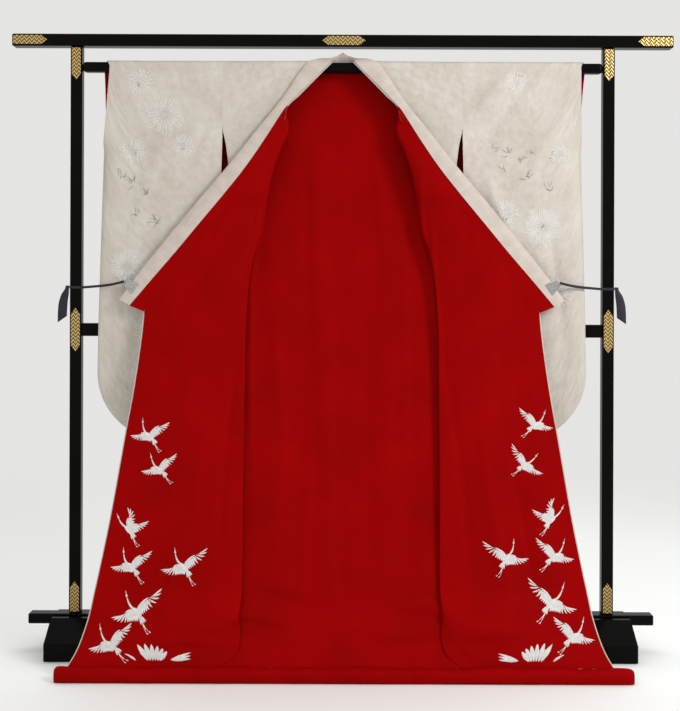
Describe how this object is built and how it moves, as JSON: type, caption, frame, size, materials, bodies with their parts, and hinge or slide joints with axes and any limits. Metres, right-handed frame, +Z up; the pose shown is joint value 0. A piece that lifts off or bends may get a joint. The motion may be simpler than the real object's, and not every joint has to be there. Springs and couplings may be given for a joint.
{
  "type": "uchikake wedding kimono on a clothes stand",
  "caption": "Long lined wedding kimono hung by its sleeves on a lacquered rail stand, fronts turned back to the red lining and held out to the posts by clips and ribbons.",
  "frame": {"origin": "middle of the part's box at floor level", "axes": "+Z up, the turned-back fronts face -Y, the rails run along X"},
  "size_m": [1.864, 0.4397, 1.7354],
  "materials": {
    "outer_silk": "woven silk with embroidery",
    "collar_silk": "ribbed silk",
    "red_lining": "plain silk lining",
    "black_lacquer": "gloss black lacquer",
    "gold_plate": "engraved, aged",
    "silver_clip": "satin",
    "purple_ribbon": "satin ribbon"
  },
  "bodies": {
    "root": {"back_left": "outer_silk", "back_right": "outer_silk", "back_lining_left": "red_lining", "back_lining_right": "red_lining", "front_left": "outer_silk", "front_right": "outer_silk", "front_lining_left": "red_lining", "front_lining_right": "red_lining", "okumi_left": "outer_silk", "okumi_right": "outer_silk", "okumi_lining_left": "red_lining", "okumi_lining_right": "red_lining", "sleeve_left": "outer_silk", "sleeve_right": "outer_silk", "sleeve_lining_left": "red_lining", "sleeve_lining_right": "red_lining", "over_collar": "collar_silk", "collar_left": "collar_silk", "collar_right": "collar_silk", "collar_lining_left": "red_lining", "collar_lining_right": "red_lining", "hem_roll": "red_lining", "foot_left": "black_lacquer", "foot_right": "black_lacquer", "post_left": "black_lacquer", "post_right": "black_lacquer", "top_rail": "black_lacquer", "sleeve_rail": "black_lacquer", "mid_rail": "black_lacquer", "bottom_rail": "black_lacquer", "rail_plate_left": "gold_plate", "rail_plate_centre": "gold_plate", "rail_plate_right": "gold_plate", "post_plate_top_left": "gold_plate", "post_plate_mid_left": "gold_plate", "post_plate_bottom_left": "gold_plate", "post_plate_top_right": "gold_plate", "post_plate_mid_right": "gold_plate", "post_plate_bottom_right": "gold_plate", "clip_left": "silver_clip", "clip_right": "silver_clip", "ribbon_left": "purple_ribbon", "ribbon_right": "purple_ribbon", "ribbon_tail_left": "purple_ribbon", "ribbon_tail_right": "purple_ribbon"}
  },
  "joints": []
}
